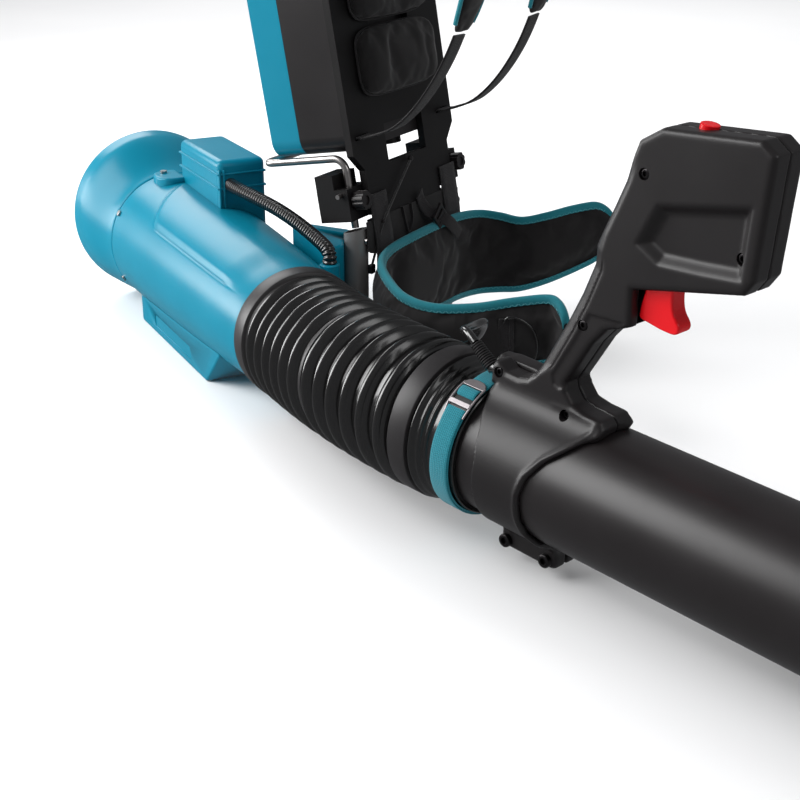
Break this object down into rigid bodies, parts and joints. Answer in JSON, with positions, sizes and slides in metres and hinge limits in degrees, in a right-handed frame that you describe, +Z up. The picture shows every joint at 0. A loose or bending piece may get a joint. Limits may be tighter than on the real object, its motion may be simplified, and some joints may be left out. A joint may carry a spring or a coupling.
{
  "type": "backpack leaf blower",
  "caption": "Backpack leaf blower with an in-line fan barrel, ribbed hose, blower tube with pistol handle, steel frame, harness and power pack.",
  "frame": {"origin": "on the floor under the middle of the frame's cross bar, midway between the two legs", "axes": "+Z up, -Y the way the wearer faces, +X to the wearer's left"},
  "size_m": [0.8816, 1.6243, 0.6199],
  "materials": {
    "housing_teal": "moulded, glossy satin",
    "black_plastic": "satin, fine grain",
    "tube_plastic": "satin",
    "rubber": "glossy",
    "circuit_board": "coated board",
    "steel": "plated",
    "copper": "enamelled wire",
    "frame_paint": "satin dark grey",
    "padding": "woven",
    "webbing_black": "ribbed webbing",
    "webbing_teal": "ribbed webbing",
    "red_plastic": "glossy"
  },
  "bodies": {
    "pack": {"fan_barrel": "housing_teal", "intake_bell": "housing_teal", "intake_grille": "black_plastic", "foot_block": "housing_teal", "motor_controller": "circuit_board", "stator_vanes": "black_plastic", "motor_can": "steel", "motor_windings": "copper", "shaft_bearings": "steel", "control_box": "housing_teal", "conduit": "rubber", "conduit_boss": "housing_teal", "housing_screws": "steel", "bracket_arm": "housing_teal", "lower_frame_tube": "frame_paint", "frame_foot": "rubber", "tube_plugs": "black_plastic", "frame_screws": "steel", "cradle_rod": "steel", "side_bracket_right": "black_plastic", "side_bracket_left": "black_plastic", "lock_pins": "steel", "backboard": "black_plastic", "back_pad": "padding", "waist_belt": "padding", "belt_webbing": "webbing_black", "shoulder_pad_right": "padding", "shoulder_pad_left": "padding", "shoulder_webbing": "webbing_teal", "pack_case": "black_plastic", "pack_cover": "housing_teal", "cell_block": "black_plastic", "hose_collar": "rubber", "bellows_rear": "rubber", "cable_rear": "rubber"},
    "rotor": {"motor_shaft": "steel", "rotor_core": "steel", "impeller": "black_plastic"},
    "hose_mid": {"hose_tie": "black_plastic"},
    "wand": {"bellows_front": "rubber", "cable_front": "rubber", "hose_cuff": "rubber", "hose_strap": "webbing_teal", "strap_buckle": "frame_paint", "blower_tube": "tube_plastic", "clamp_sleeve": "black_plastic", "clamp_screws": "steel", "handle_shell_right": "black_plastic", "handle_shell_left": "black_plastic", "handle_screws": "steel", "switch_unit": "black_plastic", "cable_relief": "rubber"},
    "trigger": {"trigger": "red_plastic"},
    "cruise_lever": {"cruise_lever": "black_plastic"},
    "power_button": {"power_button": "red_plastic"},
    "nozzle": {"nozzle": "tube_plastic"},
    "knob_right": {"knob_right": "black_plastic"},
    "knob_left": {"knob_left": "black_plastic"},
    "carry_handle": {"carry_handle": "black_plastic"},
    "pack_button": {"pack_button": "red_plastic"}
  },
  "joints": [
    {"name": "impeller_spin", "type": "hinge", "parent": "pack", "child": "rotor", "pos_m": [-0.04525, 0.25831, 0.088], "axis": [-0.5446, -0.8387, 0], "continuous": true},
    {"name": "hose_yaw", "type": "hinge", "parent": "pack", "child": "hose_mid", "pos_m": [-0.2621, -0.07445, 0.0898], "axis": [0, 0, 1], "range_deg": [-30, 20], "deforming": ["bellows_rear", "cable_rear"]},
    {"name": "hose_pitch", "type": "hinge", "parent": "hose_mid", "child": "wand", "pos_m": [-0.32621, -0.1832, 0.09613], "axis": [-0.9613, 0.2756, 0], "range_deg": [-10, 30], "deforming": ["bellows_front", "cable_front"]},
    {"name": "trigger_pull", "type": "hinge", "parent": "wand", "child": "trigger", "pos_m": [-0.40956, -0.45463, 0.28021], "axis": [0.9613, -0.2756, 0], "range_deg": [0, 15], "stiffness_Nm_per_rad": 0.15, "springref_deg": -8.59},
    {"name": "cruise_turn", "type": "hinge", "parent": "wand", "child": "cruise_lever", "pos_m": [-0.40243, -0.49506, 0.33123], "axis": [0.9613, -0.2756, 0], "range_deg": [-20, 25]},
    {"name": "power_press", "type": "slide", "parent": "wand", "child": "power_button", "axis": [-0.0135, -0.047, -0.9988], "range_m": [0, 0.002], "stiffness_N_per_m": 300, "springref_m": -0.002},
    {"name": "nozzle_twist", "type": "hinge", "parent": "wand", "child": "nozzle", "pos_m": [-0.48607, -0.72143, 0.06739], "axis": [-0.2752, -0.9598, -0.0558], "range_deg": [0, 30]},
    {"name": "knob_right_turn", "type": "hinge", "parent": "pack", "child": "knob_right", "pos_m": [-0.103, -0.00921, 0.20012], "axis": [0, 0.9848, -0.1736], "continuous": true},
    {"name": "knob_left_turn", "type": "hinge", "parent": "pack", "child": "knob_left", "pos_m": [0.103, -0.00921, 0.20012], "axis": [0, 0.9848, -0.1736], "continuous": true},
    {"name": "carry_handle_fold", "type": "hinge", "parent": "pack", "child": "carry_handle", "pos_m": [0, 0.06127, 0.58371], "axis": [1, 0, 0], "range_deg": [0, 95]},
    {"name": "pack_button_press", "type": "slide", "parent": "pack", "child": "pack_button", "axis": [1, 0, 0], "range_m": [0, 0.003], "stiffness_N_per_m": 300, "springref_m": -0.002}
  ]
}
